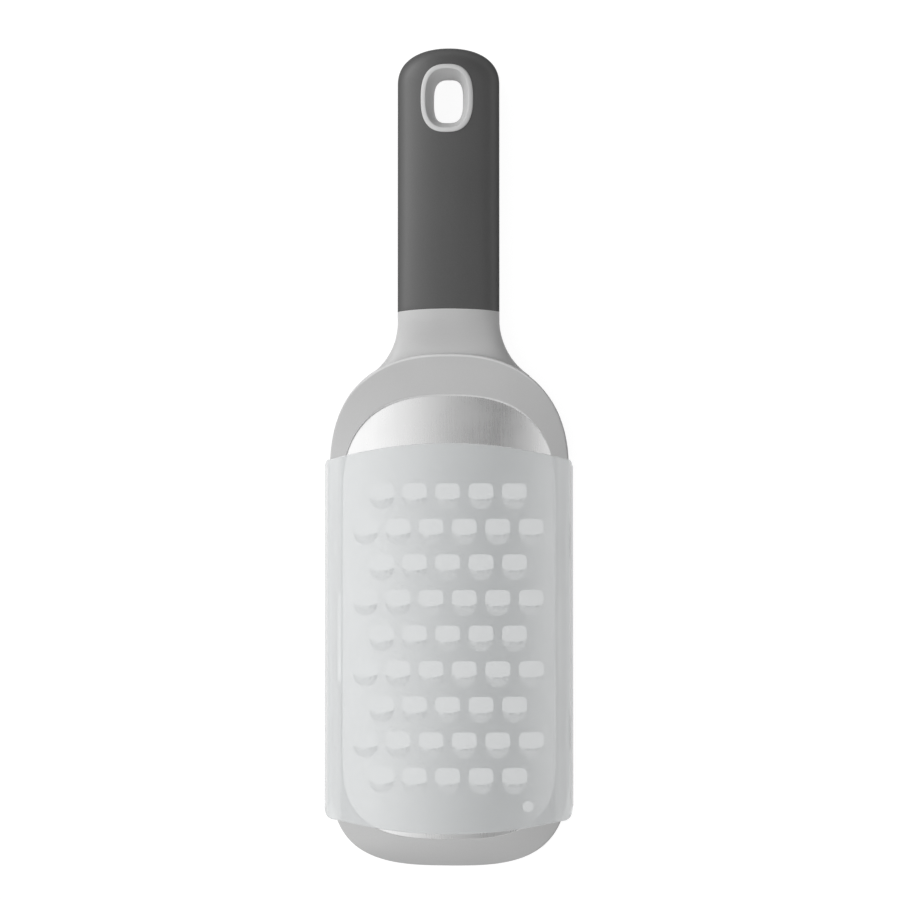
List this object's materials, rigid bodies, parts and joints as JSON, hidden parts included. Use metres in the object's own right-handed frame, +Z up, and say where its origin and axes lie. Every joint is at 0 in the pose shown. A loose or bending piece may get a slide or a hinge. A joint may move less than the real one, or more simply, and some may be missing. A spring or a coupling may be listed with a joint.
{
  "type": "paddle grater",
  "caption": "Flat hand grater with a soft handle, hanging eyelet, arched steel plate of raised scoop teeth and a milky cover that slides off over the tip.",
  "frame": {"origin": "centre of the overall box, on the table under the grater", "axes": "+X across the head, +Y towards the handle end, +Z up with the teeth facing up"},
  "size_m": [0.0826, 0.272, 0.0194],
  "materials": {
    "frame_plastic": "satin light grey moulding",
    "plate_steel": "stainless sheet brushed along its length",
    "grip_rubber": "matt dark grey soft skin",
    "ring_plastic": "satin light grey moulding",
    "sleeve_plastic": "frosted milky moulding"
  },
  "bodies": {
    "grater": {"frame": "frame_plastic", "grating_plate": "plate_steel", "soft_grip": "grip_rubber", "hang_ring": "ring_plastic"},
    "sleeve": {"guard_sleeve": "sleeve_plastic"}
  },
  "joints": [
    {"name": "sleeve_slide", "type": "slide", "parent": "grater", "child": "sleeve", "axis": [0, -1, 0], "range_m": [0, 0.145]}
  ]
}
